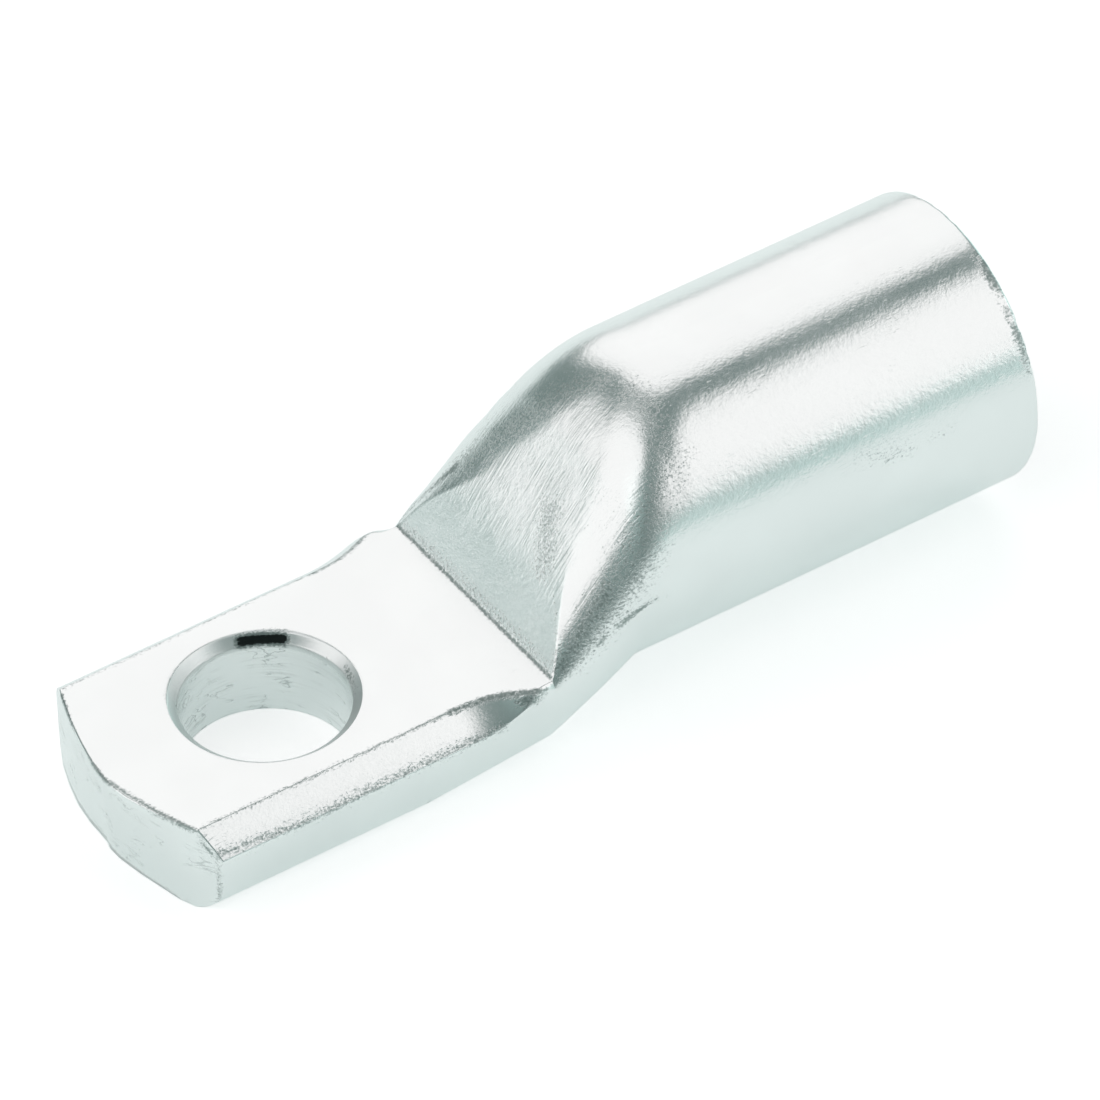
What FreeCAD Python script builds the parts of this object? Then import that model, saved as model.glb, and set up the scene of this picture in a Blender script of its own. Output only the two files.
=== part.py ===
import FreeCAD, Part
import math
import os

# A heavy tin-plated copper compression cable lug, in millimetres.
# It is one piece of round tube. The front end is pressed shut in a flat die to make the palm, which
# is punched for the bolt. The back end stays round and takes the stripped conductor.
# Frame: the origin is on the bolt hole's axis, on the underside of the palm. +X runs along the lug
# to the open mouth of the barrel, +Y across it, +Z up.

# Tube and its open barrel
barrel_diameter = 19.0
barrel_bore = 15.0
mouth_x = 50.0
mouth_break = 0.3
mouth_chamfer = 0.4

# Palm, the pressed flat end. Its flanks bow out a little, as far as the barrel is wide.
palm_thickness = 6.0
flank_bow_radius = 47.0
crease_x = 14.8

# Bottom corners of the pressed tube: tight along the palm, opening out until it is round again
palm_corner_radius = 1.4
corner_opens_x = 6.0
crease_corner_radius = 3.2
round_again_x = 21.5

# Sheared tip of the palm, with two nearly straight flanks that meet in a round nose off the middle
tip_shoulder_x = -9.65
tip_shoulder_half = 7.5
left_tip_angle = 16.3
right_tip_angle = 21.7
tip_nose_radius = 7.0

# Bevel that the die leaves along both top edges of the palm, running out just before the crease
bevel_flat_half = 7.5
bevel_angle = 45.0
bevel_flare_x = 8.5
bevel_flare_radius = 8.5
bevel_flare_turn = 55.0

# Bolt hole
hole_diameter = 10.5
hole_chamfer_width = 0.6
hole_chamfer_depth = 0.75

# Pressed shoulder: a steep facet at the crease, then a slope whose ridge rolls over into the barrel.
# The ridge opens out on its way up, and the left one, on the +Y side, is the rounder of the two.
# Its radii are shares of the barrel's radius.
facet_angle = 60.0
facet_rise = 4.2
slope_angle = 52.0
left_ridge_side_share = 0.48
left_ridge_top_share = 1.3
right_ridge_side_share = 0.23
right_ridge_top_share = 0.95

# Throat inside the shoulder, where the bore closes to a flat seam
seam_gap = 0.5
seam_half_width = 5.6
throat_wall_growth = 1.2
throat_floor_share = 0.4
throat_stations = 7

# Worked out from the sizes above
barrel_radius = barrel_diameter / 2
bore_radius = barrel_bore / 2
wall = barrel_radius - bore_radius
axis_z = barrel_radius
hole_radius = hole_diameter / 2
facet_slope = math.tan(math.radians(facet_angle))
slope = math.tan(math.radians(slope_angle))
knee_x = crease_x + facet_rise / facet_slope
knee_z = palm_thickness + facet_rise
slope_top_x = knee_x + (barrel_diameter - knee_z) / slope
roll_radius = barrel_radius * max(left_ridge_top_share, right_ridge_top_share)
roll_end_x = slope_top_x + roll_radius * math.tan(math.radians(slope_angle / 2))
crown_end_x = max(roll_end_x, round_again_x) + wall
tube_start_x = tip_shoulder_x - barrel_radius
margin = 1.0
touching = 0.01
reach = 2 * barrel_diameter


def point(x, y, z):
    return FreeCAD.Vector(x, y, z)


def line(start, end):
    return Part.LineSegment(start, end).toShape()


def arc(start, middle, end):
    return Part.Arc(start, middle, end).toShape()


def on_circle(x, y, z, radius, turn):
    """The point of a circle across the lug, centred on (y, z), at this turn from +Y towards +Z."""
    return point(x, y + radius * math.cos(turn), z + radius * math.sin(turn))


def polygon_face(points):
    return Part.Face(Part.makePolygon(points + [points[0]]))


def slab(x_low, x_high, z_low, z_high):
    """A block on the +Y side of the middle plane, wider than the lug."""
    return Part.makeBox(x_high - x_low, reach, z_high - z_low, point(x_low, 0, z_low))


def mirrored(shape):
    """The shape's mirror image in the lug's middle plane."""
    return shape.mirror(point(0, 0, 0), point(0, 1, 0))


def tube_piece(x_low, x_high):
    """Round tube, still solid, on the +Y side."""
    tube = Part.makeCylinder(barrel_radius, x_high - x_low, point(x_low, 0, axis_z), point(1, 0, 0))
    return tube.common(slab(x_low, x_high, -margin, reach))


def pressed_section(x, radius):
    """Lower right quarter of the tube pressed to this bottom corner radius: flat, corner and bowed flank."""
    bow_centre = barrel_radius - flank_bow_radius
    centre = bow_centre + math.sqrt((flank_bow_radius - radius) ** 2 - (axis_z - radius) ** 2)
    flank_turn = math.atan2(radius - axis_z, centre - bow_centre)
    corner_turn = (flank_turn - math.pi / 2) / 2
    flat_end = point(x, centre, 0)
    corner = on_circle(x, centre, radius, radius, corner_turn)
    flank_start = on_circle(x, centre, radius, radius, flank_turn)
    flank = on_circle(x, bow_centre, axis_z, flank_bow_radius, flank_turn / 2)
    return quarter([line(point(x, 0, 0), flat_end), arc(flat_end, corner, flank_start),
                    arc(flank_start, flank, point(x, barrel_radius, axis_z))])


def round_section(x):
    """Lower right quarter of the round tube, split where the flat and the flank of the palm run out."""
    turns = [math.radians(turn) for turn in (-90, -82, -74, -45, -16, -8, 0)]
    rim = [on_circle(x, 0, axis_z, barrel_radius, turn) for turn in turns]
    return quarter([arc(*rim[0:3]), arc(*rim[2:5]), arc(*rim[4:7])])


def quarter(outline):
    """Closes an outline that runs from the bottom to the side of the tube."""
    bottom = outline[0].Vertexes[0].Point
    side = outline[-1].Vertexes[-1].Point
    middle = point(bottom.x, 0, side.z)
    return Part.Wire(outline + [line(side, middle), line(middle, bottom)])


def pressed_tube():
    """The lower half of the tube where the die has squared it, on the +Y side."""
    return Part.makeLoft([
        pressed_section(tube_start_x, palm_corner_radius),
        pressed_section(corner_opens_x, palm_corner_radius),
        pressed_section(crease_x, crease_corner_radius),
        round_section(round_again_x),
    ], True, True)


def blank():
    """The tube with its lower half squared and nothing taken off its top, on the +Y side."""
    upper = tube_piece(tube_start_x, round_again_x)
    upper = upper.common(slab(tube_start_x, round_again_x, axis_z, reach))
    return pressed_tube().fuse(upper).fuse(tube_piece(round_again_x, crown_end_x))


def over_line(x, z, rise):
    """Everything in front of a plane through (x, z) that climbs by rise for each millimetre of X."""
    below = point(x - margin / rise, -margin, z - margin)
    above = point(x + reach / rise, -margin, z + reach)
    front = polygon_face([below, above, point(-reach, -margin, above.z), point(-reach, -margin, below.z)])
    return front.extrude(point(0, reach, 0))


def is_ridge(edge, foot_x):
    """True for an edge in the slope that runs round the outside of the tube."""
    middle = edge.valueAt((edge.FirstParameter + edge.LastParameter) / 2)
    on_slope = abs(middle.z - palm_thickness - slope * (middle.x - foot_x)) < touching
    return on_slope and middle.y > margin and middle.z > palm_thickness + touching


def flank_half(z):
    """Half width of the bowed flank at height z, up to the middle of the barrel."""
    bow_centre = barrel_radius - flank_bow_radius
    return bow_centre + math.sqrt(flank_bow_radius ** 2 - (axis_z - z) ** 2)


def skirt():
    """The bowed flank between the palm's top and the middle of the barrel, on the +Y side."""
    x = tube_start_x
    middle_z = (palm_thickness + axis_z) / 2
    foot = point(x, flank_half(palm_thickness), palm_thickness)
    waist = point(x, flank_half(middle_z), middle_z)
    side = point(x, barrel_radius, axis_z)
    profile = Part.Wire([
        line(point(x, 0, palm_thickness), foot),
        arc(foot, waist, side),
        line(side, point(x, 0, axis_z)),
        line(point(x, 0, axis_z), point(x, 0, palm_thickness)),
    ])
    return Part.Face(profile).extrude(point(crown_end_x - x, 0, 0))


def crown(tube, side_share, top_share):
    """The shoulder above the palm's top, on the +Y side: tube cut by the slope, its ridge rolled over."""
    foot_x = knee_x - facet_rise / slope
    upper = tube_piece(tube_start_x, crown_end_x)
    upper = upper.common(slab(tube_start_x, crown_end_x, axis_z, reach)).fuse(skirt())
    sloped = upper.cut(over_line(foot_x, palm_thickness, slope))
    ridge = [edge for edge in sloped.Edges if is_ridge(edge, foot_x)]
    ridge.sort(key=lambda edge: edge.CenterOfMass.z)
    rolled = sloped.makeFillet(side_share * barrel_radius, top_share * barrel_radius, ridge)
    return rolled.cut(over_line(crease_x, palm_thickness, facet_slope)).common(tube)


def outside_half(side_share, top_share):
    """The pressed part of the lug on the +Y side, with this ridge and no hole, bore, bevel or tip."""
    tube = blank()
    palm = tube.common(slab(tube_start_x, crown_end_x, -margin, palm_thickness))
    return palm.fuse(crown(tube, side_share, top_share)).removeSplitter()


def bevel_cut():
    """A slanted cut along one top edge of the palm. It leaves the metal on an arc before the crease."""
    lean = math.tan(math.radians(bevel_angle))
    top = palm_thickness + margin
    edge = bevel_flat_half - margin / lean
    turn = math.radians(bevel_flare_turn)
    start = point(tube_start_x - margin, edge, top)
    flare = point(bevel_flare_x, edge, top)
    on_arc = [
        point(bevel_flare_x + bevel_flare_radius * math.sin(part),
              edge + bevel_flare_radius * (1 - math.cos(part)), top)
        for part in (turn / 2, turn)
    ]
    outside = Part.Wire([
        line(start, flare),
        arc(flare, on_arc[0], on_arc[1]),
        line(on_arc[1], point(on_arc[1].x, reach, top)),
        line(point(on_arc[1].x, reach, top), point(start.x, reach, top)),
        line(point(start.x, reach, top), start),
    ])
    drop = palm_thickness
    return Part.Face(outside).extrude(point(0, drop / lean, -drop))


def tip_cut():
    """What the shear takes off the front of the palm."""
    left = math.tan(math.radians(left_tip_angle))
    right = math.tan(math.radians(right_tip_angle))
    apex_y = tip_shoulder_half * (left - right) / (left + right)
    apex_x = tip_shoulder_x - left * (tip_shoulder_half - apex_y)
    half_turn = math.radians((left_tip_angle + right_tip_angle) / 2)
    tangent = tip_nose_radius * math.tan(half_turn)
    lean = math.radians((left_tip_angle - right_tip_angle) / 2)
    inset = tip_nose_radius * (1 / math.cos(half_turn) - 1)
    low = -margin
    left_out = point(apex_x + left * reach, apex_y + reach, low)
    right_out = point(apex_x + right * reach, apex_y - reach, low)
    left_turn = math.radians(left_tip_angle)
    right_turn = math.radians(right_tip_angle)
    left_in = point(apex_x + tangent * math.sin(left_turn), apex_y + tangent * math.cos(left_turn), low)
    right_in = point(apex_x + tangent * math.sin(right_turn), apex_y - tangent * math.cos(right_turn), low)
    nose = point(apex_x + inset * math.cos(lean), apex_y - inset * math.sin(lean), low)
    outline = Part.Wire([
        line(left_out, left_in),
        arc(left_in, nose, right_in),
        line(right_in, right_out),
        line(right_out, point(-2 * reach, right_out.y, low)),
        line(point(-2 * reach, right_out.y, low), point(-2 * reach, left_out.y, low)),
        line(point(-2 * reach, left_out.y, low), left_out),
    ])
    return Part.Face(outline).extrude(point(0, 0, palm_thickness + 2 * margin))


def bolt_hole():
    drill = Part.makeCylinder(hole_radius, palm_thickness + 2 * margin, point(0, 0, -margin))
    grow = hole_chamfer_width / hole_chamfer_depth
    countersink = Part.makeCone(
        hole_radius, hole_radius + grow * (hole_chamfer_depth + margin),
        hole_chamfer_depth + margin, point(0, 0, palm_thickness - hole_chamfer_depth))
    return drill.fuse(countersink)


def ellipse(x, half_width, low, high):
    """An upright ellipse across the lug."""
    centre = point(x, 0, (low + high) / 2)
    half_height = (high - low) / 2
    flat = Part.Ellipse(point(0, 0, 0), max(half_width, half_height), half_height)
    wire = Part.Wire([flat.toShape()])
    wire.rotate(point(0, 0, 0), point(1, 0, 0), 90)
    wire.rotate(point(0, 0, 0), point(0, 0, 1), 90)
    wire.translate(centre)
    return wire


def bore():
    """The bore from the mouth, and the throat that follows the slope down to the flat seam."""
    drop = throat_wall_growth * wall / math.cos(math.radians(slope_angle))
    full_x = slope_top_x + (drop - wall) / slope
    seam_z = palm_thickness / 2
    seam_x = knee_x + (seam_z + seam_gap / 2 + drop - knee_z) / slope
    sections = []
    for station in range(throat_stations):
        share = station / (throat_stations - 1)
        x = seam_x + share * (full_x - seam_x)
        high = seam_z + seam_gap / 2 + share * (axis_z + bore_radius - seam_z - seam_gap / 2)
        floor_share = min(1.0, share / throat_floor_share)
        low = (seam_z - seam_gap / 2) * (1 - floor_share) + wall * floor_share
        half_width = seam_half_width + (bore_radius - seam_half_width) * math.sin(share * math.pi / 2)
        sections.append(ellipse(x, half_width, low, high))
    throat = Part.makeLoft(sections, True, True)
    along = point(1, 0, 0)
    start = point(full_x, 0, axis_z)
    straight = Part.makeCylinder(bore_radius, mouth_x + margin - full_x, start, along)
    bell = Part.makeCone(
        bore_radius, bore_radius + mouth_chamfer + margin, mouth_chamfer + margin,
        point(mouth_x - mouth_chamfer, 0, axis_z), along)
    return throat.fuse(straight).fuse(bell)


def barrel():
    """The round end, still solid, with the outer edge of its mouth broken."""
    x = mouth_x - mouth_break
    along, axis = point(1, 0, 0), point(crown_end_x, 0, axis_z)
    round_end = Part.makeCylinder(barrel_radius, x - crown_end_x, axis, along)
    rim = Part.makeCone(barrel_radius, barrel_radius - mouth_break, mouth_break, point(x, 0, axis_z), along)
    return round_end.fuse(rim)


def lug():
    left = outside_half(left_ridge_side_share, left_ridge_top_share)
    right = mirrored(outside_half(right_ridge_side_share, right_ridge_top_share))
    bevel = bevel_cut()
    body = left.fuse(right).fuse(barrel()).removeSplitter().cut([bevel, mirrored(bevel)])
    return body.cut([tip_cut(), bolt_hole(), bore()]).removeSplitter()


shape = lug()
if shape.ShapeType == "Compound" and len(shape.Solids) == 1:
    shape = shape.Solids[0]
os.makedirs("parts", exist_ok=True)
shape.exportStep("parts/lug.step")
print("lug: valid", shape.isValid(), "solids", len(shape.Solids), "faces", len(shape.Faces))
print("volume in cubic millimetres", round(shape.Volume, 1), shape.BoundBox)
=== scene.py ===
import math

import bmesh
import bpy
import numpy as np
from mathutils import Matrix, Vector, noise


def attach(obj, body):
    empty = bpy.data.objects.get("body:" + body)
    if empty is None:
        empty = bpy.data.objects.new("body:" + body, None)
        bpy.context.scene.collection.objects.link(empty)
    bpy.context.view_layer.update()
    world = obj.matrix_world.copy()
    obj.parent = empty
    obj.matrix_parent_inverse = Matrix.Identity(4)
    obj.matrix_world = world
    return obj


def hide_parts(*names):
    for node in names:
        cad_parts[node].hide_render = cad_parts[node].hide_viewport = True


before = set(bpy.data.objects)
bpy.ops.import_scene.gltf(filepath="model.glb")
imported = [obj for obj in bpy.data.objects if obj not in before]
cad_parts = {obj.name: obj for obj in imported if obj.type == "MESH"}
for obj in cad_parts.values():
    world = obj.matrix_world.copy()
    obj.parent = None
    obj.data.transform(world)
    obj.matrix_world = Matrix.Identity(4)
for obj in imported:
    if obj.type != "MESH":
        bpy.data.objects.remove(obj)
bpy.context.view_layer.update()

bl_info = {
    "name": "Compression Cable Lug",
    "version": (1, 0, 0),
    "blender": (4, 5, 0),
    "location": "View3D > Sidebar > Cable Lug",
    "description": "A heavy tin-plated copper compression lug with a pressed palm, and its studio",
    "category": "Add Mesh",
}

MM = 0.001


def millimetres(name, text, default):
    return bpy.props.FloatProperty(
        name=name, description=text, default=default * MM, min=0.0, unit="LENGTH", subtype="DISTANCE", precision=5)


class LugSizes(bpy.types.PropertyGroup):
    """Sizes of the lug. They match the solid part."""

    barrel_diameter: millimetres("Barrel diameter", "Outside diameter of the round barrel", 19.0)
    barrel_bore: millimetres("Barrel bore", "Inside diameter of the round barrel", 15.0)
    barrel_mouth: millimetres("Barrel mouth", "Distance from the bolt hole's axis to the open mouth", 50.0)
    palm_thickness: millimetres("Palm thickness", "Thickness of the flat palm", 6.0)
    palm_crease: millimetres("Palm crease", "Distance from the bolt hole's axis to the crease", 14.8)
    bolt_hole: millimetres("Bolt hole", "Diameter of the bolt hole", 10.5)
    ridge_wobble: millimetres("Hand of the press", "How far pressed edges wander from a straight line", 0.05)


class LugFinish(bpy.types.PropertyGroup):
    """Colours and finish of the tin."""

    tin: bpy.props.FloatVectorProperty(
        name="Tin", description="Colour of the bright tin", size=3, subtype="COLOR", min=0.0, max=1.0,
        default=(0.872, 0.900, 0.894))
    # The scuffed tin's colour also paints the dark reflections: the bands round the slope, the line along the bevel's
    # foot and the patch on the hole's chamfer.
    scuff_and_reflection: bpy.props.FloatVectorProperty(
        name="Scuffed tin", description="Colour of the tin where the die rubbed it", size=3, subtype="COLOR",
        min=0.0, max=1.0, default=(0.20, 0.255, 0.245))
    roughness: bpy.props.FloatProperty(
        name="Roughness", description="Roughness of the bright tin", default=0.22, min=0.0, max=1.0,
        subtype="FACTOR")
    floor: bpy.props.FloatVectorProperty(
        name="Floor", description="Colour of the studio floor", size=3, subtype="COLOR", min=0.0, max=1.0,
        default=(0.745, 0.750, 0.750))


# The outline, in millimetres and degrees.
FLANK_BOW = 47.0
FACET_ANGLE, FACET_RISE, SLOPE_ANGLE, ROLL_RADIUS = 60.0, 4.2, 52.0, 9.0
CREASE_ROUND, KNEE_SOFTNESS = 0.07, 0.22
# Radius of the lower edges, and of the left and right ridge, at places along the lug.
CORNER_TABLE = ((-20.0, 6.0, 14.8, 21.5), (1.4, 1.4, 3.2, 9.5))
RIDGE_X = (14.8, 16.1, 17.2, 18.5, 20.0, 21.5, 23.0, 25.0, 28.0)
RIDGE_LEFT = (3.6, 4.4, 5.3, 6.2, 7.2, 8.6, 9.3, 9.45, 9.49)
RIDGE_RIGHT = (2.5, 3.7, 4.1, 4.4, 4.9, 5.7, 6.8, 8.3, 9.49)
# Where the shoulder's sections stand close together, and how far ahead of it the palm begins to follow it.
SHOULDER_END, ROLL_END, SHOULDER_LEAD = 24.0, 31.0, 3.0
# The bevel along each upper edge of the palm: its place, where it begins to flare, and the turns at its two edges.
BEVEL_TOP, BEVEL_FLARE_X, BEVEL_FLARE_RADIUS = 7.5, 8.5, 8.5
BEVEL_TURN, BEVEL_FOOT_TURN = math.radians(45.0), math.radians(42.0)
# The tip's end at places across it, along the palm's top and along its foot.
TIP_TOP = ((-9.3, -8.2, -7.32, -6.48, -5.16, -3.68, -2.67, -1.5, -0.5, 0.75, 2.88, 4.69, 6.85, 7.74, 8.6, 9.3),
           (-8.92, -9.36, -9.71, -10.15, -10.7, -11.24, -11.56, -11.73, -11.77, -11.63, -11.19, -10.72, -10.02,
            -9.66, -9.25, -8.95))
TIP_FOOT = ((-9.3, -8.4, -7.55, -6.53, -4.92, -3.3, -1.53, -0.45, 0.1, 1.0, 2.13, 3.86, 5.64, 7.18, 8.55, 9.3),
            (-8.8, -9.35, -10.02, -10.45, -10.82, -11.19, -11.47, -11.49, -11.32, -11.27, -11.24, -11.01, -10.52,
             -9.97, -9.32, -8.92))
# Rows that lead up to the tip's end, its broken edge, and the cuts across its face.
TIP_ROWS, TIP_EDGE, TIP_CUTS = 13, 0.05, 9
# The mouth's rounded and ragged edge, the bore's lead-in, and the throat down to the blind seam.
MOUTH_BITE, MOUTH_ROUGH, BORE_LEAD = 0.3, 0.1, 0.4
BORE_END, SEAM_X, SEAM_HALF, SEAM_GAP = 25.1, 16.9, 5.6, 0.25
# The square lattice of columns round the bolt hole, its rim's chamfer, and the bearings where that is narrow and deep.
HOLE_SQUARE, HOLE_BLEND, COLUMN = 5.75, 7.0, 0.25
CHAMFER_WIDTH, CHAMFER_DEPTH, HOLE_FOOT = 0.6, 0.78, 0.08
RIM_NARROW, RIM_DEEP = math.radians(58.0), math.radians(80.0)
# Columns of a half section, and their places on the barrel as shares of its half way round.
FLAT_COLUMNS, CORNER_COLUMNS, FLANK_COLUMNS, EDGE_COLUMNS, FACE_COLUMNS = 32, 12, 10, 6, 7
BARREL_SHARES = (0.25, 0.46, 0.56, 0.60, 0.70, 0.74)


def mirrored(line):
    """The same line on the lug's other side."""
    return tuple((x, -y, z) for x, y, z in line)


BEVEL_EDGE = ((-9.5, -7.45, 6.0), (0.0, -7.5, 6.0), (7.5, -7.55, 6.0))
FLARE_EDGE = ((8.2, -7.56, 6.0), (10.5, -7.72, 6.0), (11.8, -8.12, 6.0), (13.2, -8.8, 5.95), (14.2, -9.2, 5.8))
BEVEL_FOOT = ((-9.1, -8.8, 4.7), (-3.2, -9.09, 4.38), (2.8, -9.0, 4.46), (8.6, -9.0, 4.48), (11.0, -9.3, 4.6))
# Where the tin is darkened, partly rubbed by the press and handling, partly painted dark reflection: how far from its
# line a mark reaches, how strong it is, and the line.
RUBS_AND_REFLECTIONS = (
    # The crease, the bevels, the tip and its near corner.
    (0.20, 0.90, ((14.84, 8.5, 6.05), (14.84, -8.6, 6.05))),
    (0.75, 0.42, ((15.05, 8.4, 6.4), (15.05, -8.4, 6.4))),
    (0.30, 0.46, BEVEL_EDGE),
    (0.30, 0.46, mirrored(BEVEL_EDGE)),
    (0.34, 0.85, FLARE_EDGE),
    (0.34, 0.75, mirrored(FLARE_EDGE)),
    (0.60, 0.75, ((12.5, -8.9, 5.65), (13.5, -9.3, 5.6))),
    # Painted dark reflection: the lines along the bevel's foot on both sides, and the broad one on the near side.
    (0.42, 0.60, BEVEL_FOOT),
    (0.42, 0.60, mirrored(BEVEL_FOOT)),
    (0.80, 0.30, ((-9.0, -8.85, 4.5), (-3.2, -9.05, 4.3), (2.8, -9.0, 4.4), (8.6, -9.0, 4.4), (11.0, -9.3, 4.5))),
    (0.24, 0.85, ((-9.9, 7.0, 5.95), (-10.8, 4.7, 5.95), (-11.5, 2.7, 5.95), (-11.75, -0.5, 5.95),
                  (-11.2, -2.9, 5.95), (-10.6, -5.0, 5.95), (-9.75, -7.3, 5.95), (-9.3, -8.5, 4.6))),
    (0.30, 0.55, ((-9.2, -8.85, 4.4), (-9.1, -8.9, 2.7), (-9.0, -8.7, 0.9))),
    # The bands round the slope, right and left, are painted dark reflections; then the marks beside and on the slope.
    (1.05, 0.66, ((15.5, -8.7, 6.8), (16.6, -8.6, 7.9), (17.6, -8.5, 9.1), (19.0, -8.5, 10.8))),
    (1.50, 0.44, ((19.0, -8.5, 10.8), (20.9, -8.2, 13.0), (23.0, -7.5, 15.0), (24.3, -6.5, 16.2),
                  (25.3, -5.1, 17.3), (25.7, -3.5, 18.1), (25.5, -1.6, 18.6))),
    (1.70, 0.46, ((16.2, -9.0, 7.2), (18.2, -9.15, 8.9), (20.4, -9.1, 10.9), (22.0, -8.8, 12.6))),
    (1.20, 0.36, ((22.0, -8.8, 12.6), (24.4, -8.0, 15.2), (26.0, -6.6, 16.8))),
    (0.55, 0.85, ((15.0, 8.4, 6.4), (15.9, 7.9, 7.9), (16.9, 7.2, 9.2), (17.9, 6.4, 10.4))),
    (1.50, 0.42, ((17.7, 6.6, 10.0), (18.6, 5.8, 11.4), (20.6, 3.8, 14.2), (22.7, 2.3, 16.6), (24.7, 0.4, 18.3))),
    (0.20, 0.90, ((17.6, -9.15, 7.6), (18.8, -9.35, 8.5), (20.2, -9.5, 9.1), (21.9, -9.5, 9.4))),
    (0.14, 0.50, ((17.4, -4.8, 10.4), (16.6, -6.5, 9.1), (15.9, -7.5, 7.9), (15.2, -8.3, 6.6))),
    (1.50, 0.48, ((17.4, -4.1, 10.3), (18.3, -3.0, 11.6), (19.2, -2.2, 12.7))),
    (0.13, 0.80, ((19.3, -7.25, 12.1), (20.5, -7.85, 13.0))),
    (0.13, 0.80, ((20.6, -7.3, 13.5), (22.0, -7.7, 14.3))),
    (0.10, 0.60, ((19.6, -5.9, 12.8), (19.9, -6.4, 12.9))),
    # The worn patch on the barrel's side, and the painted black reflection on the far side and the painted dark
    # reflection on the near side of the hole's chamfer.
    (1.50, 0.26, ((37.4, -9.0, 12.6), (39.6, -9.1, 12.3))),
    (0.80, 0.38, ((38.6, -9.2, 11.9), (40.4, -9.2, 11.6))),
    (0.70, 0.26, ((42.2, -9.3, 11.7), (43.6, -9.3, 11.9))),
    (0.52, 1.60, ((3.85, 3.9, 5.62), (2.7, 4.72, 5.62), (1.6, 5.15, 5.62))),
    (0.42, 0.66, ((5.5, -0.5, 5.6), (5.2, -1.9, 5.5), (4.9, -2.6, 5.4))),
)


def smooth(value):
    """0 below 0, 1 above 1, and an even bend between them."""
    t = min(max(value, 0.0), 1.0)
    return t * t * (3 - 2 * t)


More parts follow.
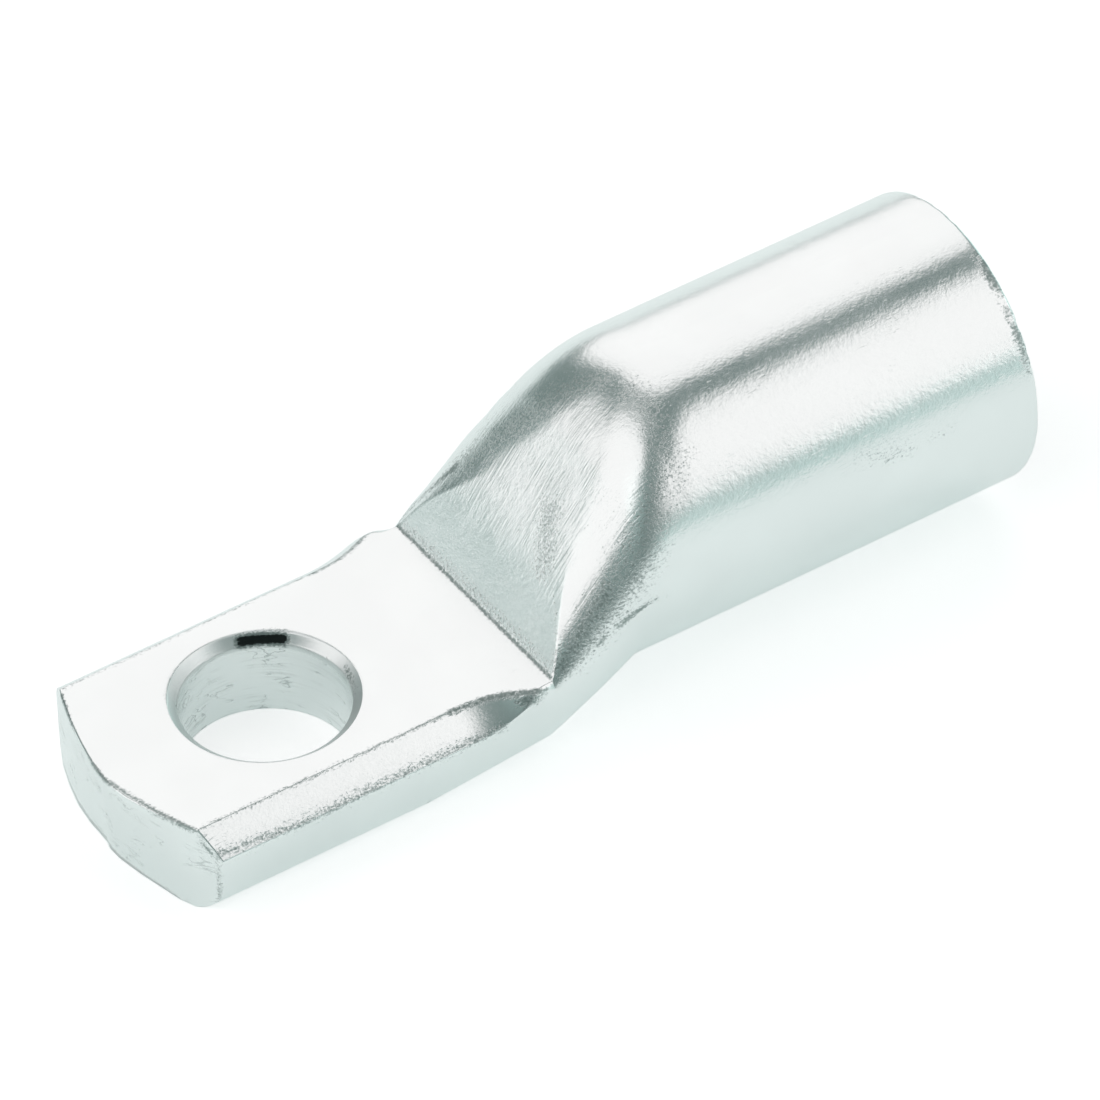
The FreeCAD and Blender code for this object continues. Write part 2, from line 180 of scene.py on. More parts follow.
class Outline:
    """The lug's outside, as half sections from the middle of its underside to the middle of its top."""

    def __init__(self, sizes):
        self.radius = sizes.barrel_diameter / 2 / MM
        self.palm = sizes.palm_thickness / MM
        self.crease = sizes.palm_crease / MM
        self.bow = self.radius - FLANK_BOW
        facet, slope = math.radians(FACET_ANGLE), math.radians(SLOPE_ANGLE)
        self.facet, self.slope = math.tan(facet), math.tan(slope)
        self.knee_x = self.crease + FACET_RISE / self.facet
        self.knee_z = self.palm + FACET_RISE
        top_x = self.knee_x + (2 * self.radius - self.knee_z) / self.slope
        self.roll_end = top_x + ROLL_RADIUS * math.tan(slope / 2)
        self.roll_start = top_x - ROLL_RADIUS * math.tan(slope / 2) * math.cos(slope)

    def slope_height(self, x):
        """Height of the shoulder's slope, rolled over into the barrel."""
        if x >= self.roll_end:
            return 2 * self.radius
        if x <= self.roll_start:
            return self.knee_z + (x - self.knee_x) * self.slope
        reach = self.roll_end - x
        return 2 * self.radius - ROLL_RADIUS + math.sqrt(ROLL_RADIUS ** 2 - reach ** 2)

    def facet_height(self, x):
        """Height of the palm's top and of the steep facet, with a tight round in the crease between them."""
        climb = (x - self.crease) / CREASE_ROUND
        return self.palm + self.facet * CREASE_ROUND * (climb if climb > 30 else math.log1p(math.exp(climb)))

    def soft_knee(self, facet, slope):
        """The lower of two heights, with the bend between them drawn out as the die's worn edge leaves it."""
        reach = KNEE_SOFTNESS * smooth((self.knee_z - self.palm - abs(facet - self.knee_z)) / 2.0)
        if reach < 0.01:
            return min(facet, slope)
        return min(facet, slope) - reach * math.log1p(math.exp(-abs(facet - slope) / reach))

    def flank(self, z):
        """Half width at this height: the round tube above the middle, the bowed flank below."""
        if z > self.radius:
            return math.sqrt(max(0.0, self.radius ** 2 - (z - self.radius) ** 2))
        return self.bow + math.sqrt(FLANK_BOW ** 2 - (self.radius - z) ** 2)

    def lower(self, x, top):
        """Underside, rounded corner and flank, as points up to this height."""
        radius = float(np.interp(x, *CORNER_TABLE))
        centre = self.bow + math.sqrt((FLANK_BOW - radius) ** 2 - (self.radius - radius) ** 2)
        turn = math.atan2(radius - self.radius, centre - self.bow)
        turns = np.linspace(-math.pi / 2, turn, 40)
        points = [(y, 0.0) for y in np.linspace(0.0, centre, 60)[:-1]]
        points += [(centre + radius * math.cos(t), radius + radius * math.sin(t)) for t in turns]
        points += [(self.flank(z), z) for z in np.linspace(points[-1][1], top, 60)[1:]]
        return points, centre

    def upper(self, x, ridge):
        """Top, rounded ridge and flank of the shoulder without its facet, from the underside up."""
        height = self.slope_height(x)
        middle = height - ridge
        if middle >= self.radius:
            centre = math.sqrt(max(0.0, (self.radius - ridge) ** 2 - (middle - self.radius) ** 2))
            turn = math.atan2(centre, middle - self.radius)
        else:
            centre = self.bow + math.sqrt((FLANK_BOW - ridge) ** 2 - (self.radius - middle) ** 2)
            turn = math.atan2(centre - self.bow, middle - self.radius)
        turns = np.linspace(turn, 0.0, 90)
        ridge_points = [(centre + ridge * math.sin(t), middle + ridge * math.cos(t)) for t in turns]
        foot = ridge_points[0][1]
        flank = [(self.flank(z), z) for z in np.linspace(min(0.0, foot - 0.5), foot, 60)[:-1]]
        return flank + ridge_points + [(y, height) for y in np.linspace(centre, 0.0, 60)[1:]]

    def palm_upper(self, x):
        """Flank, bevel and top of the palm, with both edges of the bevel rounded."""
        reach = min(max(x - BEVEL_FLARE_X, 0.0), BEVEL_FLARE_RADIUS)
        edge = BEVEL_TOP + BEVEL_FLARE_RADIUS - math.sqrt(BEVEL_FLARE_RADIUS ** 2 - reach ** 2)
        edge = min(edge, self.flank(self.palm) - 0.12)
        foot = self.palm
        for _ in range(30):
            foot = self.palm + edge - self.flank(foot)
        width = math.hypot(self.flank(foot) - edge, self.palm - foot)
        top_round = min(0.22 + 0.95 * smooth((x - 4.0) / 7.0), width / 2.2 / math.tan(BEVEL_TURN / 2) / 1.2)
        foot_round = min(0.5, width / 2.4 / math.tan(BEVEL_FOOT_TURN / 2) / 1.2)
        set_back = top_round * math.tan(BEVEL_TURN / 2)
        top_arc = [(edge - set_back + top_round * math.sin(t), self.palm - top_round + top_round * math.cos(t))
                   for t in np.linspace(0.0, BEVEL_TURN, 10)]
        slack = foot_round * math.tan(BEVEL_FOOT_TURN / 2)
        start = Vector((self.flank(foot - slack), foot - slack))
        corner = Vector((self.flank(foot), foot))
        end = corner + Vector((edge - corner.x, self.palm - corner.y)).normalized() * slack
        foot_arc = [tuple(start * (1 - t) ** 2 + corner * (2 * t * (1 - t)) + end * t * t)
                    for t in np.linspace(0.0, 1.0, 10)]
        flank = [(self.flank(z), z) for z in np.linspace(0.0, foot - slack, 40)[:-1]]
        flat = [(y, self.palm) for y in np.linspace(top_arc[0][0], 0.0, 80)[1:]]
        return flank + foot_arc + top_arc[::-1] + flat, (start, end, top_arc[-1], top_arc[0])

    def half(self, x, ridges):
        """Points of one half section with the places, along it, of the lines that its columns follow."""
        ridge = float(np.interp(x, RIDGE_X, ridges))
        top, marks = self.palm_upper(x) if x < self.crease else (self.upper(x, ridge), None)
        height = top[-1][1]
        low, corner = self.lower(x, self.radius)
        low += [(self.flank(z), z) for z in
                self.radius + self.radius * np.sin(np.linspace(0, math.pi / 2, 60)[1:])]
        middle = min(self.facet_height(x), height) * 0.5
        shapes = [self.polar(top, middle), self.polar(low, middle)]
        angles = np.unique(np.round(np.concatenate([shape[0] for shape in shapes]), 7))
        reach = np.min([np.interp(angles, *shape) for shape in shapes], axis=0)
        if self.crease - SHOULDER_LEAD < x < self.crease:
            other = self.upper(self.crease, float(np.interp(self.crease, RIDGE_X, ridges)))
            shoulder = np.interp(angles, *self.polar(other, middle))
            lead = smooth((x - self.crease + SHOULDER_LEAD) / SHOULDER_LEAD)
            reach = reach - lead * np.maximum(0.0, reach - shoulder)
        points = np.stack([reach * np.cos(angles), middle + reach * np.sin(angles)], 1)
        bent = self.soft_knee if x > self.crease else min
        cut = bent(self.facet_height(x), height)
        if cut < points[-1, 1] - 1e-6:
            keep = points[:, 1] < cut
            last = int(np.nonzero(keep)[0][-1])
            a, b = points[last], points[last + 1]
            share = (cut - a[1]) / (b[1] - a[1])
            points = np.vstack([points[:last + 1], [a + (b - a) * share], [[0.0, cut]]])
        run = np.concatenate([[0.0], np.cumsum(np.hypot(*np.diff(points, axis=0).T))])
        return points, run, marks, corner

    @staticmethod
    def polar(points, middle):
        """Angles and distances of the points, seen from this height on the middle line."""
        y, z = np.array(points).T
        angle = np.arctan2(z - middle, np.maximum(y, 0.0))
        order = np.argsort(angle, kind="stable")
        return angle[order], np.hypot(y, z - middle)[order]


def near_run(points, run, target):
    """How far along the section its nearest point to the target lies."""
    gaps = np.hypot(points[:, 0] - target[0], points[:, 1] - target[1])
    return float(run[int(np.argmin(gaps))])


def columns(outline, x, ridges):
    """One half section's points, bottom middle to top middle, at columns that follow the edges."""
    points, run, marks, corner = outline.half(x, ridges)
    total = run[-1]
    barrel = np.array(BARREL_SHARES) * total
    top = points[-1, 1]
    flat = points[:, 1] > top - 0.006
    flat_start = min(float(run[int(np.argmax(flat))]), total * 0.9)
    if marks:
        spots = [near_run(points, run, mark) for mark in marks]
        spots[3] = flat_start
        spots[2] = min(spots[2], spots[3] - 0.12)
        spots[1] = min(spots[1], spots[2] - 0.2)
        spots[0] = min(spots[0], spots[1] - 0.12)
    else:
        spread = smooth((x - outline.crease) / 3.0)
        spots = [flat_start - gap for gap in (0.6 + 3.0 * spread, 0.45 + 2.2 * spread, 0.15 + 0.3 * spread, 0.0)]
    foot = [near_run(points, run, (corner, 0.0)), 0.0]
    foot[1] = foot[0] + 0.6 * (spots[0] - foot[0])
    if x < CORNER_TABLE[0][1]:
        foot[1] = foot[0] + 1.5 * CORNER_TABLE[1][0]
    edges = np.array(foot + spots)
    edges[:2] += (barrel[:2] - edges[:2]) * smooth((x - 11.0) / 6.5)
    edges[2:] += (barrel[2:] - edges[2:]) * smooth((x - 16.6) / 6.0)
    for index in range(1, 6):
        edges[index] = max(edges[index], edges[index - 1] + 0.05)
    counts = (FLAT_COLUMNS, CORNER_COLUMNS, FLANK_COLUMNS, EDGE_COLUMNS, FACE_COLUMNS, EDGE_COLUMNS, FLAT_COLUMNS)
    stops = np.concatenate([[0.0], edges, [total]])
    regular = int(HOLE_BLEND / COLUMN)
    at = []
    for index, count in enumerate(counts):
        low, high = stops[index], stops[index + 1]
        part = np.linspace(low, high, count + 1)[:-1]
        if index in (0, 6) and x < outline.crease:
            evenly = np.arange(regular) * COLUMN
            side = high if index == 0 else total - low
            rest = np.linspace(HOLE_BLEND, side, count + 1 - regular)
            flat_at = np.concatenate([evenly, rest])
            loose = smooth((x - 8.0) / 5.0)
            flat_at = flat_at * (1 - loose) + np.linspace(0.0, side, count + 1) * loose
            part = flat_at[:-1] if index == 0 else (total - flat_at[::-1])[:-1]
        at.append(part)
    at = np.concatenate(at + [[total]])
    return np.stack([np.interp(at, run, points[:, 0]), np.interp(at, run, points[:, 1])], 1)


def stations(outline, mouth):
    """Places along the lug where a section stands, close together where it changes."""
    square = np.arange(-HOLE_BLEND, HOLE_BLEND + COLUMN / 2, COLUMN)
    ahead = np.linspace(HOLE_BLEND, outline.crease - 0.3, 30)[1:]
    crease = np.linspace(outline.crease - 0.3, outline.crease + 0.4, 15)[1:]
    shoulder = np.linspace(outline.crease + 0.4, SHOULDER_END, 52)[1:]
    roll = np.linspace(SHOULDER_END, ROLL_END, 24)[1:]
    barrel = np.linspace(ROLL_END, mouth - 0.8, 34)[1:]
    return np.concatenate([square, ahead, crease, shoulder, roll, barrel])


def tip_place(y, z, palm):
    """Where the tip's end face stands at this width and height."""
    share = min(max(z / palm, 0.0), 1.0)
    foot = float(np.interp(y, *TIP_FOOT))
    top = float(np.interp(y, *TIP_TOP))
    return foot + (top - foot) * share


def hole_warp(x, y, radius):
    """Moves a point of the square lattice round the bolt hole onto rings round the hole."""
    most = max(abs(x), abs(y))
    if most < HOLE_SQUARE - 0.01 or most > HOLE_BLEND:
        return x, y
    if abs(x) >= abs(y):
        turn = (y / x) * math.pi / 4 + (0.0 if x > 0 else math.pi)
    else:
        turn = math.pi / 2 - (x / y) * math.pi / 4 + (0.0 if y > 0 else math.pi)
    ring = radius(turn) + max(most - HOLE_SQUARE, 0.0)
    share = smooth((most - HOLE_SQUARE) / (HOLE_BLEND - HOLE_SQUARE))
    return (ring * math.cos(turn) * (1 - share) + x * share, ring * math.sin(turn) * (1 - share) + y * share)


def wander(x, y, z, scale, seed):
    """Smooth seeded noise between about -1 and 1."""
    return noise.noise(Vector((x * scale + seed, y * scale - seed, z * scale + 2 * seed)))


def lug_rings(outline, sizes):
    """Rings round the lug from the tip to the mouth, then back down the bore to its blind seam."""
    palm, radius = outline.palm, outline.radius
    bore, mouth = sizes.barrel_bore / 2 / MM, sizes.barrel_mouth / MM
    sections = []
    for x in stations(outline, mouth):
        right = columns(outline, x, RIDGE_RIGHT)
        left = columns(outline, x, RIDGE_LEFT)
        ring = np.concatenate([left[:-1], (right * [-1, 1])[::-1][:-1]])
        sections.append(np.column_stack([np.full(len(ring), x), ring]))
    first, last = sections[0], sections[-1]

    rings = []
    for row in range(TIP_ROWS, 0, -1):
        share = 1 - (1 - row / TIP_ROWS) ** 1.6
        ring = first.copy()
        for index, (x, y, z) in enumerate(first):
            ring[index, 0] = x + (tip_place(y, z, palm) - x) * share
        if row == TIP_ROWS:
            ring[:, 2] += np.where(ring[:, 2] > palm / 2, -TIP_EDGE, TIP_EDGE)
            ring[:, 1] *= 0.994
        rings.append(ring)
    rings += sections

    turns = np.arctan2(last[:, 2] - radius, last[:, 1])

    def circle(x, r, ragged=0.0):
        ring = np.column_stack([np.full(len(turns), x), r * np.cos(turns), radius + r * np.sin(turns)])
        if ragged:
            for index, turn in enumerate(turns):
                push = wander(math.cos(turn) * radius, math.sin(turn) * radius, 0.0, 0.9, 3.1)
                push += 0.6 * wander(math.cos(turn) * radius, math.sin(turn) * radius, 0.0, 2.7, 7.7)
                ring[index, 0] += ragged * min(push, 0.0)
        return ring

    rings += [circle(mouth - 2 * MOUTH_BITE, radius), circle(mouth - MOUTH_BITE, radius, MOUTH_ROUGH / 2)]
    rings += [circle(mouth - MOUTH_BITE + MOUTH_BITE * math.sin(t), radius - MOUTH_BITE + MOUTH_BITE * math.cos(t),
                     MOUTH_ROUGH) for t in (0.35, 0.75, 1.15, math.pi / 2)]
    rings += [circle(mouth, r, MOUTH_ROUGH) for r in (radius - 0.8, radius - 1.2, bore + 0.45)]
    rings += [circle(mouth - 0.1, bore + 0.22, MOUTH_ROUGH), circle(mouth - BORE_LEAD, bore)]
    rings += [circle(x, bore) for x in np.linspace(mouth - 1.0, BORE_END, 22)]
    for share in np.linspace(1.0, 0.0, 14)[1:]:
        x = SEAM_X + share * (BORE_END - SEAM_X)
        high = palm / 2 + SEAM_GAP + share * (radius + bore - palm / 2 - SEAM_GAP)
        floor_share = min(1.0, share / 0.4)
        low = (palm / 2 - SEAM_GAP) * (1 - floor_share) + (radius - bore) * floor_share
        half = SEAM_HALF + (bore - SEAM_HALF) * math.sin(share * math.pi / 2)
        rings.append(np.column_stack([np.full(len(turns), x), half * np.cos(turns),
                                      (low + high) / 2 + (high - low) / 2 * np.sin(turns)]))
    return rings


def rim(hole, turn, width=CHAMFER_WIDTH):
    """Radius on the chamfer, which the countersink cut less wide on the side away from the tip."""
    return hole + width * (1 - 0.38 * max(0.0, math.cos(turn - RIM_NARROW)) ** 3)


def wrapped(rings, palm, hole):
    """A skin of quads through the rings, with the palm open where the bolt hole goes."""
    rows, around = len(rings), len(rings[0])
    bm = bmesh.new()
    bmesh.ops.create_grid(bm, x_segments=rows - 1, y_segments=around, size=1.0)
    covered = set()
    for vert in bm.verts:
        row = round((vert.co.x + 1) / 2 * (rows - 1))
        column = round((vert.co.y + 1) / 2 * around)
        x, y, z = (float(v) for v in rings[row][column % around])
        most = max(abs(x), abs(y))
        if most <= HOLE_BLEND + 0.01 and row >= TIP_ROWS and not 0.02 < z < palm - 0.02:
            if most <= HOLE_SQUARE + 0.01:
                covered.add(vert)
            x, y = hole_warp(x, y, lambda turn: hole + HOLE_FOOT if z < 1.0 else rim(hole, turn))
        vert.co = (x * MM, y * MM, z * MM)
    inside = [face for face in bm.faces if covered.issuperset(face.verts)]
    bmesh.ops.delete(bm, geom=inside, context="FACES")
    bmesh.ops.remove_doubles(bm, verts=bm.verts, dist=2e-7)
    return bm


def open_loops(bm):
    """The loops of open edges, each in the order of the edges' numbers."""
    bm.edges.index_update()
    free = {edge for edge in bm.edges if edge.is_boundary}
    loops = []
    while free:
        todo, loop = [free.pop()], set()
        while todo:
            edge = todo.pop()
            loop.add(edge)
            for vert in edge.verts:
                for other in vert.link_edges:
                    if other in free:
                        free.discard(other)
                        todo.append(other)
        loops.append(sorted(loop, key=lambda edge: edge.index))
    return loops


def middle_of(loop):
    spots = [vert.co for edge in loop for vert in edge.verts]
    return sum(spots, Vector()) / len(spots)


def cut_hole(bm, top_hole, low_hole, palm, hole):
    """Chamfer and wall of the bolt hole, from the opening in the palm's top to the one in its underside."""
    profile = [(hole + 0.57, palm - 0.03), (hole + 0.42, palm - 0.22), (hole + 0.22, palm - 0.48),
               (hole + 0.05, palm - 0.69), (hole, palm - CHAMFER_DEPTH)]
    profile += [(hole, z) for z in np.linspace(palm - CHAMFER_DEPTH, 0.12, 20)[1:]]
    edges = top_hole
    for r, z in profile:
        made = bmesh.ops.extrude_edge_only(bm, edges=edges)["geom"]
        for vert in (item for item in made if isinstance(item, bmesh.types.BMVert)):
            turn = math.atan2(vert.co.y, vert.co.x)
            at = rim(hole, turn, r - hole) * MM
            vert.co = (at * math.cos(turn), at * math.sin(turn), z * MM)
        edges = [item for item in made if isinstance(item, bmesh.types.BMEdge)
                 and all(abs(vert.co.z - z * MM) < 1e-7 for vert in item.verts)]
    bmesh.ops.bridge_loops(bm, edges=edges + low_hole)
    for vert in bm.verts:
        if math.hypot(vert.co.x, vert.co.y) < (hole + 0.62) * MM and vert.co.z > (palm - 0.8) * MM:
            turn = math.atan2(vert.co.y, vert.co.x)
            shallow = 0.35 * (1 - max(0.0, math.cos(turn - RIM_DEEP)))
            vert.co.z = palm * MM - (palm * MM - vert.co.z) * (1 - shallow)


def close_tip(bm, tip, palm):
    """The tip's end face: one strip from edge to edge, cut into rows that follow the two slanted cuts."""
    def turn_of(edge):
        middle = (edge.verts[0].co + edge.verts[1].co) / 2
        return math.atan2(middle.y, palm / 2 * MM - middle.z) % (2 * math.pi)

    round_tip = sorted(tip, key=turn_of)
    side = len(round_tip) // 2
    rungs = []
    for half in (round_tip[:side], round_tip[:side - 1:-1]):
        for low_edge, high_edge in zip(half[:side // 2], half[::-1]):
            for face in bmesh.ops.contextual_create(bm, geom=[low_edge, high_edge])["faces"]:
                rungs += [edge for edge in face.edges if edge not in tip and edge not in rungs]
    cut = bmesh.ops.subdivide_edges(bm, edges=rungs, cuts=TIP_CUTS, use_grid_fill=True)
    for vert in (item for item in cut["geom_inner"] if isinstance(item, bmesh.types.BMVert)):
        vert.co.x = tip_place(vert.co.y / MM, vert.co.z / MM, palm) * MM


def lug_mesh(sizes):
    """The closed skin of the whole lug, outside, hole and bore."""
    outline = Outline(sizes)
    hole, mouth = sizes.bolt_hole / 2 / MM, sizes.barrel_mouth / MM
    bm = wrapped(lug_rings(outline, sizes), outline.palm, hole)
    loops = sorted(open_loops(bm), key=lambda loop: middle_of(loop).x)
    tip, seam = loops[0], loops[-1]
    low_hole, top_hole = sorted(loops[1:-1], key=lambda loop: middle_of(loop).z)
    bmesh.ops.contextual_create(bm, geom=seam)
    cut_hole(bm, top_hole, low_hole, outline.palm, hole)
    close_tip(bm, tip, outline.palm)

    bmesh.ops.recalc_face_normals(bm, faces=bm.faces)
    bm.normal_update()
    # The skin wanders inwards a little, most at the pressed shoulder, and not on its underside or at its mouth.
    for vert in bm.verts:
        x, y, z = vert.co / MM
        clear = smooth((z - 0.3) / 1.0) * smooth((mouth - 0.6 - x) / 2.0)
        pressed = smooth((x - 15.5) / 2.0) * (1 - smooth((x - 26.0) / 8.0))
        amount = clear * (0.006 + sizes.ridge_wobble / MM * 0.4 * pressed)
        push = amount * (0.5 + 0.5 * wander(x, y, z, 0.4, 11.3)) + clear * 0.0015 * wander(x, y, z, 1.6, 5.9)
        vert.co -= vert.normal * max(push, 0.0) * MM
    mesh = bpy.data.meshes.new("lug_skin")
    bm.to_mesh(mesh)
    bm.free()
    mesh.shade_smooth()
    spots = np.array([vert.co[:] for vert in mesh.vertices]) / MM
    mesh.attributes.new("rub_and_reflection", "FLOAT", "POINT").data.foreach_set("value", rubbed_and_painted_dark(spots))
    return mesh


def rubbed_and_painted_dark(spots):
    """How dark the tin is at each place, from rubbing and from painted dark reflection: 0 to 1, and above 1 where a
    painted black reflection lies on the rim of the hole.
    """
    most = np.zeros(len(spots))
    for reach, strength, line in RUBS_AND_REFLECTIONS:
        for start, end in zip(np.array(line), np.array(line)[1:]):
            share = np.clip((spots - start) @ (end - start) / ((end - start) @ (end - start)), 0.0, 1.0)
            gap = np.linalg.norm(spots - start - share[:, None] * (end - start), axis=1) / reach
            most = np.maximum(most, strength * np.clip(1.25 - gap, 0.0, 1.0))
    return most


class Wire:
    """A node's output whose operators add Math nodes."""

    def __init__(self, shader, socket):
        self.shader, self.socket = shader, socket

    def maths(self, operation, *values):
        return self.shader.node("ShaderNodeMath", {"operation": operation}, dict(enumerate(values)))

    def __add__(self, other):
        return self.maths("ADD", self, other)

    def __sub__(self, other):
        return self.maths("SUBTRACT", self, other)

    def __mul__(self, other):
        return self.maths("MULTIPLY", self, other)

    def __rsub__(self, other):
        return self.maths("SUBTRACT", other, self)

    def __abs__(self):
        return self.maths("ABSOLUTE", self)

    __radd__, __rmul__ = __add__, __mul__

    def power(self, other):
        return self.maths("POWER", self, other)

    def most(self, other):
        return self.maths("MAXIMUM", self, other)

    def ramp(self, low, high):
        """0 at low and 1 at high, smoothly. It also runs downwards."""
        return self.shader.node("ShaderNodeMapRange", {"interpolation_type": "SMOOTHSTEP", "clamp": True},
                                {"Value": self, "From Min": low, "From Max": high, "To Min": 0.0, "To Max": 1.0})


class Shader:
    """A material's or the world's node tree."""

    def __init__(self, owner):
        owner.use_nodes = True
        self.tree = owner.node_tree
        self.tree.nodes.clear()

    def node(self, kind, settings=None, values=None, output=0):
        """A new node with these settings and inputs, as the wire from one of its outputs."""
        made = self.tree.nodes.new(kind)
        for name, value in (settings or {}).items():
            setattr(made, name, value)
        for name, value in (values or {}).items():
            socket = made.inputs[name]
            if isinstance(value, Wire):
                self.tree.links.new(value.socket, socket)
            else:
                socket.default_value = value
        return Wire(self, made.outputs[output]) if made.outputs else None

    def coordinates(self):
        return self.node("ShaderNodeTexCoord", output="Object")

    def axes(self, vector):
        return [self.node("ShaderNodeSeparateXYZ", None, {0: vector}, axis) for axis in range(3)]

    def turned(self, vector, scale, turn=(0.0, 0.0, 0.0)):
        return self.node("ShaderNodeMapping", None, {"Vector": vector, "Scale": scale, "Rotation": turn})

    def noise(self, vector, scale, detail=3.0, roughness=0.5, distortion=0.0):
        return self.node("ShaderNodeTexNoise", None, {
            "Vector": vector, "Scale": scale, "Detail": detail, "Roughness": roughness, "Distortion": distortion})

    def blend(self, factor, first, second):
        return self.node("ShaderNodeMix", {"data_type": "RGBA", "blend_type": "MIX"},
                         {"Factor": factor, 6: first, 7: second}, 2)

    def attribute(self, name):
        return self.node("ShaderNodeAttribute", {"attribute_name": name}, None, "Fac")

    def surface(self, wire, kind="ShaderNodeOutputMaterial"):
        self.node(kind, None, {"Surface": wire})


def rgba(colour):
    return (*colour, 1.0)


def tin_material(finish, sizes):
    """Bright tin over copper, with rubbed edges, draw marks and light scratches, and painted dark reflections in the
    scuffed tin's colour.
    """
    material = bpy.data.materials.new("tinned_copper")
    s = Shader(material)
    place = s.turned(s.coordinates(), (1 / MM, 1 / MM, 1 / MM))
    x, y, z = s.axes(place)
    bore, mouth = sizes.bolt_hole / 2 / MM, sizes.barrel_mouth / MM
    away = (x * x + y * y).power(0.5)
    hole = 1.0 - away.ramp(bore + 0.04, bore + 0.12)
    chamfer = (1.0 - away.ramp(bore + 0.52, bore + 0.64)) * z.ramp(4.9, 5.2)
    cloud = s.noise(place, 0.16, 3.0, 0.5)
    peel = s.noise(place, 2.3, 2.0, 0.5)
    pits = s.noise(place, 6.0, 2.0, 0.6)
    # Short strokes in three directions, kept to patches.
    nicks = 0.0
    for scale, turn in (((1.2, 8.0, 8.0), (0.3, 0.7, 0.5)), ((1.1, 9.0, 9.0), (0.9, -0.5, 1.3)),
                        ((1.4, 8.5, 8.5), (-0.6, 0.4, -0.7))):
        stroke = s.noise(s.turned(place, scale, turn), 1.0, 1.0, 0.5)
        nicks = stroke.ramp(0.66, 0.76).most(nicks)
    patches = s.noise(place, 0.55, 2.0, 0.5)
    nicks = nicks * patches.ramp(0.50, 0.66)
    # Draw marks up the shoulder's slope, turning marks in the hole, and the mouth's worn near edge.
    slope = x.ramp(15.6, 17.4) * (1.0 - x.ramp(22.0, 25.0)) * z.ramp(7.0, 9.5)
    drawn = s.noise(s.turned(place, (0.22, 4.6, 0.22), (0.0, 0.0, 0.12)), 1.0, 3.0, 0.6, 0.5)
    drawn = drawn * patches.ramp(0.36, 0.56) + 0.5 * (1.0 - patches.ramp(0.36, 0.56))
    turned = s.noise(s.turned(place, (0.2, 0.2, 4.2), (0.04, 0.03, 0.0)), 1.0, 2.0, 0.6, 0.6)
    lip = x.ramp(mouth - 1.2, mouth - 0.4) * (1.0 - x.ramp(mouth - 0.2, mouth - 0.06)) * patches.ramp(0.3, 0.6)
    lip = lip * z.ramp(11.5, 14.5) * (0.0 - y).ramp(0.8, 3.2)
    # The rubbed tin and the painted dark reflections come from the mesh's attribute; the mouth's lip and the slope's
    # marks are added to it.
    rub_and_reflection = s.attribute("rub_and_reflection").most(lip * 0.85).most(slope * (drawn + patches * 0.8 - 0.98) * 1.5)
    speck = pits * 0.55 + s.noise(s.turned(place, (2.4, 9.0, 9.0), (0.2, -0.6, 0.5)), 1.0, 2.0, 0.6) * 0.45
    wear_and_reflection = (rub_and_reflection + (speck - 0.5) * 2.2).ramp(0.28, 0.95) * rub_and_reflection.ramp(0.02, 0.2)
    # Thin torn lines on the hole's wall and on the sheared end of the tip.
    fold = abs(s.noise(s.turned(place, (0.26, 0.26, 0.75), (0.2, 0.1, 0.0)), 1.0, 3.0, 0.6, 0.5) - 0.5)
    torn = (1.0 - fold.ramp(0.003, 0.014)) * patches.ramp(0.46, 0.56)
    wear_and_reflection = wear_and_reflection.most(hole * (turned - 0.5) * patches.ramp(0.35, 0.65) * 1.2).most(hole * torn * 0.5)
    cut = (0.0 - x).ramp(8.6, 9.2) * (1.0 - z.ramp(5.6, 5.95))
    wear_and_reflection = wear_and_reflection.most(cut * torn * 0.35).most(cut * nicks * 0.3)
    roughness = finish.roughness + (cloud - 0.5) * 0.1 + (pits - 0.5) * 0.12 + wear_and_reflection * 0.2 + chamfer * 0.18
    bright = s.blend(cloud.ramp(0.35, 0.7), rgba([c * 0.97 for c in finish.tin]), rgba(finish.tin))
    # Scuffed colour where the tin is worn and where a dark reflection is painted.
    colour = s.blend(wear_and_reflection * 0.85, bright, rgba(finish.scuff_and_reflection))
    # Near black where the attribute rises above 1: a painted black reflection on the far side of the hole's chamfer.
    black_reflection = (rub_and_reflection + (turned - 0.5) * 1.1 + (speck - 0.5) * 0.7).ramp(1.1, 1.35)
    colour = s.blend(black_reflection, colour, rgba([c * 0.12 for c in finish.scuff_and_reflection]))
    height = (peel * (0.18 + x.ramp(13.0, 17.0) * 0.24) + pits * 0.25 - nicks * 0.15
              + slope * drawn * 0.8 + hole * turned * 0.8 - wear_and_reflection * 0.5)
    bump = s.node("ShaderNodeBump", None, {"Strength": 1.0, "Distance": 2.6e-5, "Height": height})
    skin = s.node("ShaderNodeBsdfPrincipled", None, {
        "Base Color": colour, "Metallic": 1.0, "Roughness": roughness, "Normal": bump})
    s.surface(skin)
    return material


# The camera's place and axes, and its focal length in pixels of the square frame.
CAMERA_PLACE = Vector((-0.27299937, -0.44841, 0.49172806))
CAMERA_RIGHT = Vector((0.82872, -0.55944, -0.01567))
CAMERA_UP = Vector((0.38497, 0.54951, 0.74151))
CAMERA_BACK = Vector((-0.40622, -0.62054, 0.67076))
FOCAL_PIXELS, FRAME_PIXELS, SENSOR = 12000, 1100, 36.0
LAMP_DISTANCE, LAMP_COLOUR = 0.9, (1.0, 0.915, 0.925)
# Each softbox's bearing and height in degrees, width, length, radiance and roll in degrees.
LAMPS = (
    ("back_softbox", 60.0, 39.0, 0.82, 1.32, 0.92, 19.0),
    ("front_softbox", -39.0, 34.5, 0.88, 1.06, 0.93, -35.0),
    ("left_softbox", 167.0, 46.0, 1.08, 1.88, 0.92, -23.0),
)
WHITE, AIR_TINT, FLOOR_TINT = (1.0, 1.0, 1.0, 1.0), (0.76, 1.0, 0.965, 1.0), (0.86, 0.985, 0.965, 1.0)


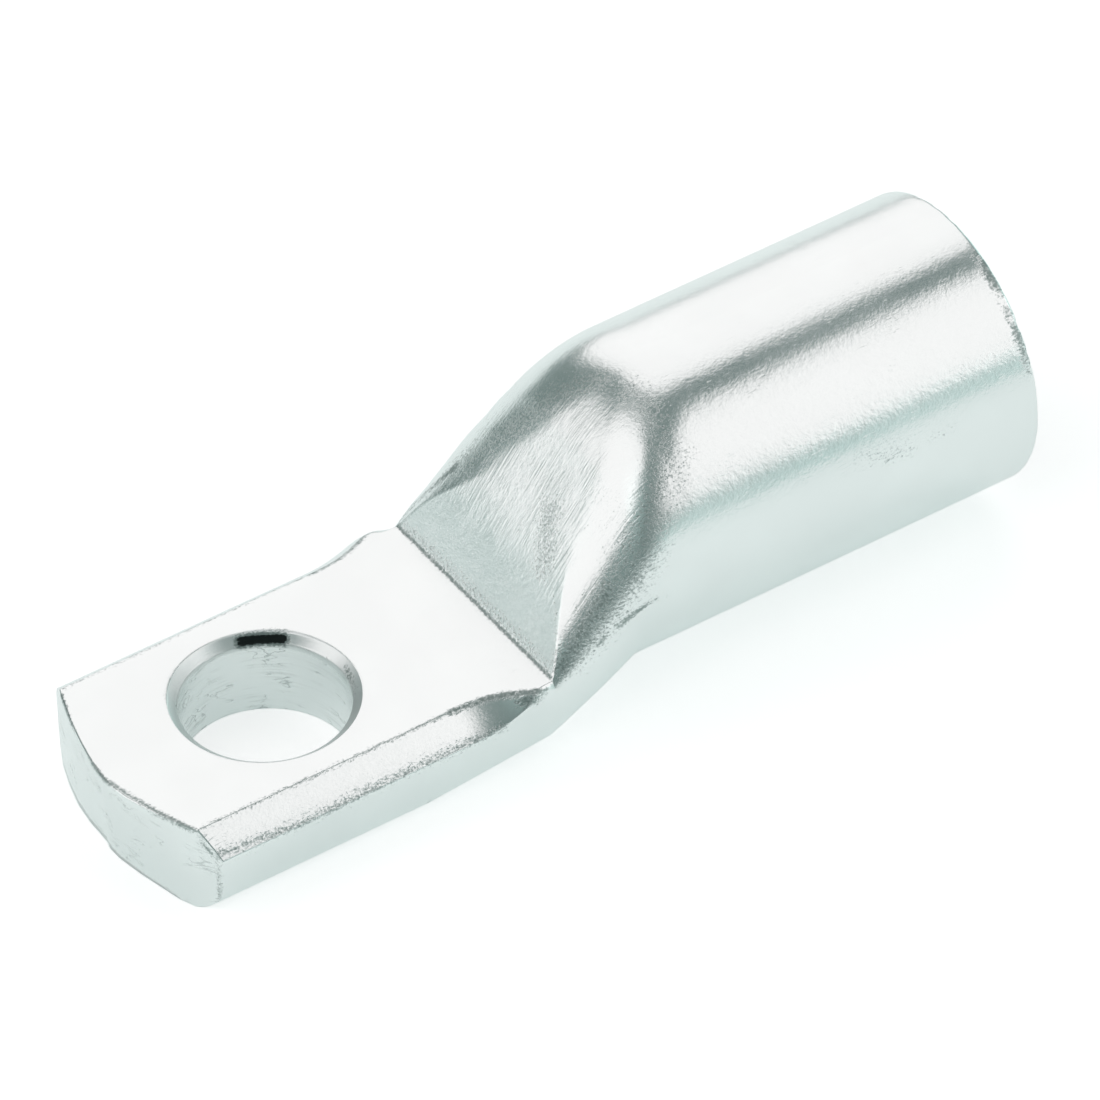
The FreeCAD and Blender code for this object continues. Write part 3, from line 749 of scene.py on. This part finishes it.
def softbox(name, bearing, rise, width, height, radiance, roll):
    """An oval softbox that looks at the lug from this bearing and height."""
    data = bpy.data.lights.new(name, "AREA")
    data.shape, data.size, data.size_y = "ELLIPSE", width, height
    data.energy = radiance * math.pi * math.pi / 4 * width * height
    data.color = LAMP_COLOUR
    lamp = bpy.data.objects.new(name, data)
    turn, lift = math.radians(bearing), math.radians(rise)
    aim = Vector((math.cos(lift) * math.cos(turn), math.cos(lift) * math.sin(turn), math.sin(lift)))
    facing = aim.to_track_quat("Z", "Y").to_matrix().to_4x4()
    lamp.matrix_world = Matrix.Translation(aim * LAMP_DISTANCE) @ facing @ Matrix.Rotation(math.radians(roll), 4, "Z")
    bpy.context.scene.collection.objects.link(lamp)


def studio_world():
    """White air for the camera; for the lug, a dim room with a lighter horizon, end wall and side."""
    world = bpy.data.worlds.new("studio_air")
    bpy.context.scene.world = world
    s = Shader(world)
    x, y, z = s.axes(s.node("ShaderNodeTexCoord", output="Generated"))
    low = 1.0 - z.ramp(0.02, 0.36)
    ahead = (x - y.ramp(0.0, 1.0) * 0.6).ramp(0.1, 0.5) * 0.55
    behind = (0.0 - x).ramp(0.45, 0.85) * y.ramp(-0.1, 0.4) * 0.25
    side = (z * 0.707 - x * 0.473 - y * 0.525).ramp(0.866, 0.99) * 0.16
    level = 0.235 + low * (ahead + behind) + x.ramp(0.75, 0.92) * 0.5 + side
    camera = s.node("ShaderNodeLightPath", output="Is Camera Ray")
    strength = level * (1.0 - camera) + camera
    tint = s.blend(camera, AIR_TINT, WHITE)
    s.surface(s.node("ShaderNodeBackground", None, {"Color": tint, "Strength": strength}), "ShaderNodeOutputWorld")


def floor_material(finish):
    """Paper that glows a little for the camera and in the lug's reflections."""
    material = bpy.data.materials.new("studio_floor")
    s = Shader(material)
    paper = s.node("ShaderNodeBsdfDiffuse", None, {"Color": rgba(finish.floor)})
    camera = s.node("ShaderNodeLightPath", output="Is Camera Ray")
    mirror = s.node("ShaderNodeLightPath", output="Is Glossy Ray")
    tint = s.blend(camera, FLOOR_TINT, WHITE)
    glow = s.node("ShaderNodeEmission", None, {"Color": tint, "Strength": camera * 0.55 + mirror * 0.36})
    s.surface(s.node("ShaderNodeAddShader", None, {0: paper, 1: glow}))
    return material


class LUG_OT_body(bpy.types.Operator):
    """Makes the lug: one piece of tube, pressed flat at one end"""

    bl_idname = "lug.body"
    bl_label = "Make the lug"

    def execute(self, context):
        mesh = lug_mesh(context.scene.lug_sizes)
        mesh.materials.append(tin_material(context.scene.lug_finish, context.scene.lug_sizes))
        body = bpy.data.objects.new("lug_skin", mesh)
        context.scene.collection.objects.link(body)
        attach(body, "root")
        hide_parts("lug")
        return {"FINISHED"}


class LUG_OT_studio(bpy.types.Operator):
    """Makes the floor, the soft lights and the camera"""

    bl_idname = "lug.studio"
    bl_label = "Make the studio"

    def execute(self, context):
        bm = bmesh.new()
        bmesh.ops.create_circle(bm, cap_ends=True, segments=96, radius=4.0)
        mesh = bpy.data.meshes.new("floor")
        bm.to_mesh(mesh)
        bm.free()
        mesh.materials.append(floor_material(context.scene.lug_finish))
        floor = bpy.data.objects.new("floor", mesh)
        context.scene.collection.objects.link(floor)
        studio_world()
        for lamp in LAMPS:
            softbox(*lamp)
        data = bpy.data.cameras.new("camera")
        data.sensor_width, data.sensor_height, data.sensor_fit = SENSOR, SENSOR, "HORIZONTAL"
        data.lens = FOCAL_PIXELS / FRAME_PIXELS * SENSOR
        data.clip_end = 20.0
        camera = bpy.data.objects.new("camera", data)
        axes = Matrix((CAMERA_RIGHT, CAMERA_UP, CAMERA_BACK)).transposed()
        camera.matrix_world = Matrix.Translation(CAMERA_PLACE) @ axes.to_4x4()
        context.scene.collection.objects.link(camera)
        context.scene.camera = camera
        context.scene.view_settings.view_transform = "Standard"
        return {"FINISHED"}


class LUG_PT_panel(bpy.types.Panel):
    """Sizes, finish and the steps that make the lug"""

    bl_idname = "LUG_PT_panel"
    bl_label = "Cable Lug"
    bl_space_type = "VIEW_3D"
    bl_region_type = "UI"
    bl_category = "Cable Lug"

    def draw(self, context):
        layout = self.layout
        for group in (context.scene.lug_sizes, context.scene.lug_finish):
            for name in group.__annotations__:
                layout.prop(group, name)
        layout.operator(LUG_OT_body.bl_idname)
        layout.operator(LUG_OT_studio.bl_idname)


CLASSES = (LugSizes, LugFinish, LUG_OT_body, LUG_OT_studio, LUG_PT_panel)


def register():
    for cls in CLASSES:
        bpy.utils.register_class(cls)
    bpy.types.Scene.lug_sizes = bpy.props.PointerProperty(type=LugSizes)
    bpy.types.Scene.lug_finish = bpy.props.PointerProperty(type=LugFinish)


def unregister():
    del bpy.types.Scene.lug_finish
    del bpy.types.Scene.lug_sizes
    for cls in reversed(CLASSES):
        bpy.utils.unregister_class(cls)


def main():
    register()
    bpy.ops.lug.body()
    bpy.ops.lug.studio()


if __name__ == "__main__":
    main()
